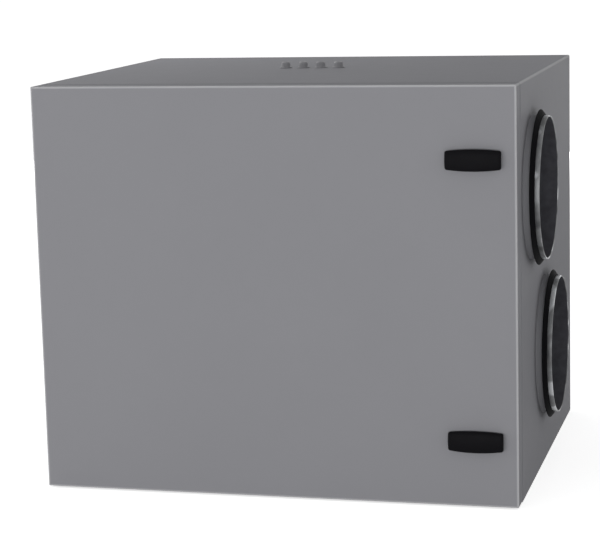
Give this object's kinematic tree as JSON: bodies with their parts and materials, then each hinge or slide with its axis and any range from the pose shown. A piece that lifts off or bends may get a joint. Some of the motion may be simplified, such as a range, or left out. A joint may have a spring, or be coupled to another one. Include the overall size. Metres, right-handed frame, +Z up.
{
  "type": "air handling unit",
  "caption": "Compact insulated air handling unit: grey box casing, hinged service door with turn latches, round duct collars on both sides, heat wheel, fans and filters inside.",
  "frame": {"origin": "middle of the casing's footprint on the floor plane, under the casing's underside", "axes": "+X to the right seen from the door, +Y from the door to the back, +Z up"},
  "size_m": [0.908, 0.733, 0.7315],
  "materials": {
    "casing_paint": "satin grey powder coat",
    "galvanised": "galvanised sheet, faint spangle",
    "steel": "zinc plated",
    "black_rubber": "matt moulded rubber",
    "grey_rubber": "matt cellular rubber",
    "black_plastic": "fine grained black plastic",
    "grey_plastic": "matt grey plastic",
    "box_plastic": "light grey plastic",
    "wheel_foil": "corrugated aluminium foil",
    "filter_card": "pale moulded frame",
    "filter_cloth": "pleated synthetic fibre",
    "motor_black": "black cast housing"
  },
  "bodies": {
    "casing": {"base_panel": "casing_paint", "top_panel": "casing_paint", "left_panel": "casing_paint", "right_panel": "casing_paint", "back_panel": "casing_paint", "upper_hinge_case_leaf": "steel", "lower_hinge_case_leaf": "steel", "right_upper_collar": "galvanised", "right_lower_collar": "galvanised", "left_upper_collar": "galvanised", "left_lower_collar": "galvanised", "right_upper_seal": "black_rubber", "right_lower_seal": "black_rubber", "left_upper_seal": "black_rubber", "left_lower_seal": "black_rubber", "cable_gland_1": "grey_plastic", "cable_gland_2": "grey_plastic", "cable_gland_3": "grey_plastic", "cable_gland_4": "grey_plastic", "wheel_cassette": "galvanised", "heat_wheel": "wheel_foil", "wheel_axle": "steel", "left_partition": "galvanised", "right_partition": "galvanised", "extract_filter_frame": "filter_card", "extract_filter_cloth": "filter_cloth", "supply_filter_frame": "filter_card", "supply_filter_cloth": "filter_cloth", "filter_rails": "galvanised", "extract_fan_support": "galvanised", "extract_fan_impeller": "motor_black", "extract_fan_motor": "motor_black", "supply_fan_support": "galvanised", "supply_fan_impeller": "motor_black", "supply_fan_motor": "motor_black", "control_box": "box_plastic"},
    "door": {"door_panel": "casing_paint", "door_liner": "galvanised", "door_gasket": "grey_rubber", "upper_hinge_door_leaf": "steel", "lower_hinge_door_leaf": "steel"},
    "upper_latch": {"upper_latch_grip": "black_plastic", "upper_latch_cam": "steel"},
    "lower_latch": {"lower_latch_grip": "black_plastic", "lower_latch_cam": "steel"}
  },
  "joints": [
    {"name": "door_hinge", "type": "hinge", "parent": "casing", "child": "door", "pos_m": [-0.433, -0.315, 0.36], "axis": [0, 0, -1], "range_deg": [0, 110]},
    {"name": "upper_latch_turn", "type": "hinge", "parent": "door", "child": "upper_latch", "pos_m": [0.353, -0.3575, 0.596], "axis": [0, 1, 0], "range_deg": [0, 90]},
    {"name": "lower_latch_turn", "type": "hinge", "parent": "door", "child": "lower_latch", "pos_m": [0.353, -0.3575, 0.118], "axis": [0, 1, 0], "range_deg": [0, 90]}
  ]
}
